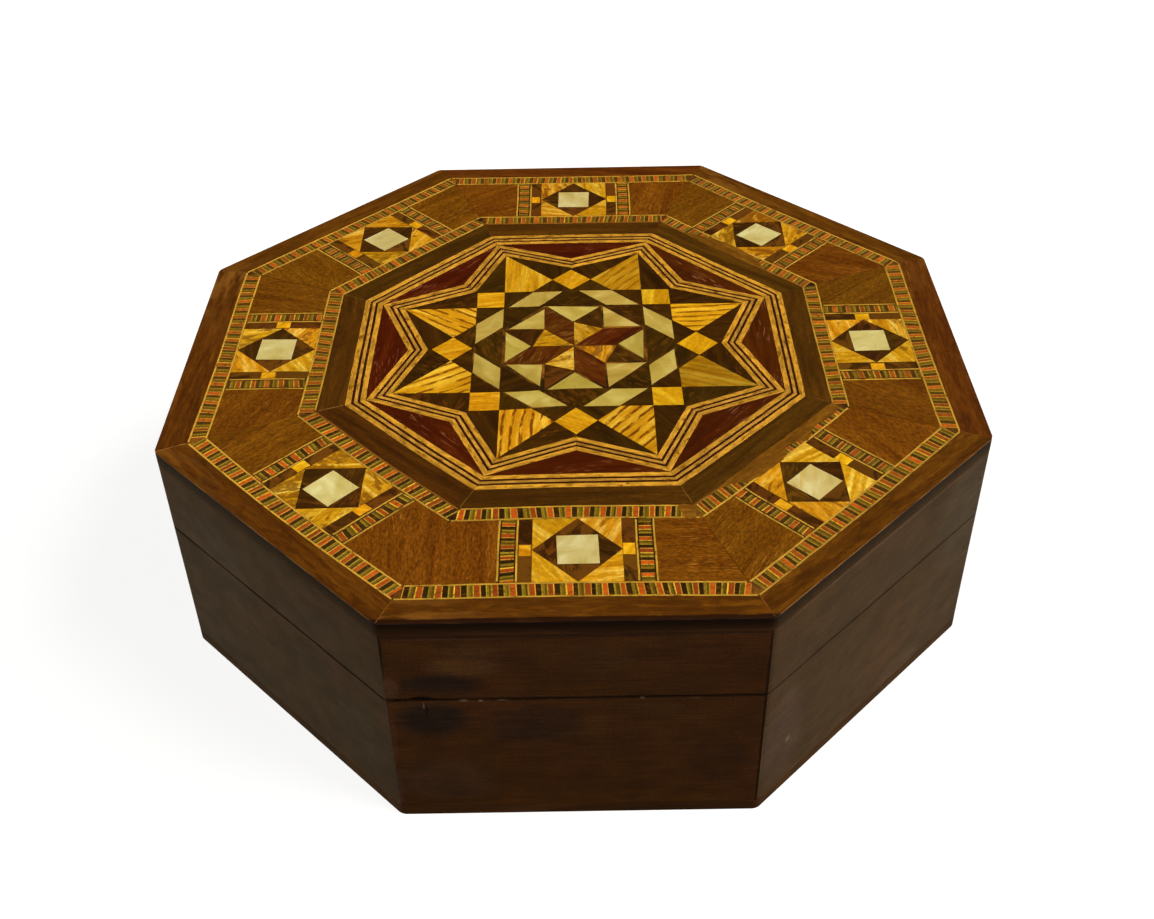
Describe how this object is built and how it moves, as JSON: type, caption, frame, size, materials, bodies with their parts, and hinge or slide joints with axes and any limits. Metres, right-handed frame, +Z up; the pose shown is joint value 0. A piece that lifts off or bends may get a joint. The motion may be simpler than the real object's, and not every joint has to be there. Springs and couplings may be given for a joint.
{
  "type": "octagonal marquetry keepsake box",
  "caption": "Octagonal wooden keepsake box with a hinged lid, a velvet-lined inside and a star marquetry top edged with mosaic bands.",
  "frame": {"origin": "centre of the resting face, midway between opposite sides of the octagon", "axes": "+Z up, +Y towards the hinges at the back, +X to the right seen from the front"},
  "size_m": [0.2, 0.2, 0.063],
  "materials": {
    "case_walnut": "satin lacquered dark walnut",
    "border_wood": "lacquered orange-brown veneer",
    "field_wood": "lacquered mid-brown veneer",
    "frame_wood": "lacquered walnut veneer",
    "dark_wood": "lacquered very dark walnut veneer",
    "brown_wood": "lacquered brown veneer",
    "red_wood": "lacquered red mahogany veneer",
    "yellow_wood": "lacquered yellow citrus wood veneer",
    "line_wood": "lacquered striped line of light and dark wood",
    "mosaic_wood": "lacquered mosaic of dyed wood slivers",
    "shell": "polished mother-of-pearl",
    "velvet": "dark red velvet over card",
    "hinge_brass": "aged brass",
    "brass_screws": "aged brass"
  },
  "bodies": {
    "base": {"base_floor": "case_walnut", "base_wall_back": "case_walnut", "base_wall_back_left": "case_walnut", "base_wall_left": "case_walnut", "base_wall_front_left": "case_walnut", "base_wall_front": "case_walnut", "base_wall_front_right": "case_walnut", "base_wall_right": "case_walnut", "base_wall_back_right": "case_walnut", "base_floor_pad": "velvet", "base_wall_cards": "velvet", "hinge_base_leaves": "hinge_brass", "hinge_pins": "hinge_brass", "hinge_base_screws": "brass_screws"},
    "lid": {"lid_board": "case_walnut", "lid_wall_back": "case_walnut", "lid_wall_back_left": "case_walnut", "lid_wall_left": "case_walnut", "lid_wall_front_left": "case_walnut", "lid_wall_front": "case_walnut", "lid_wall_front_right": "case_walnut", "lid_wall_right": "case_walnut", "lid_wall_back_right": "case_walnut", "lid_panel_pad": "velvet", "lid_wall_cards": "velvet", "hinge_lid_leaves": "hinge_brass", "hinge_lid_screws": "brass_screws", "border_veneer": "border_wood", "outer_mosaic_band": "mosaic_wood", "inner_mosaic_band": "mosaic_wood", "panel_mosaic_strips": "mosaic_wood", "field_veneer": "field_wood", "panel_yellow_corners": "yellow_wood", "panel_dark_triangles": "brown_wood", "panel_shell_squares": "shell", "panel_dark_strips": "brown_wood", "panel_yellow_blocks": "yellow_wood", "star_frame": "frame_wood", "octagon_line": "line_wood", "mahogany_triangles": "red_wood", "star_line": "line_wood", "star_flank_triangles": "dark_wood", "star_kites": "yellow_wood", "star_yellow_squares": "yellow_wood", "star_small_triangles": "dark_wood", "star_bar_triangles": "dark_wood", "star_shell_bars": "shell", "rosette_shell_triangles": "shell", "rosette_red_rhombi": "red_wood", "rosette_yellow_triangles": "yellow_wood", "rosette_brown_triangles": "brown_wood"}
  },
  "joints": [
    {"name": "lid_hinge", "type": "hinge", "parent": "base", "child": "lid", "pos_m": [0, 0.0977, 0.0395], "axis": [-1, 0, 0], "range_deg": [0, 104]}
  ]
}
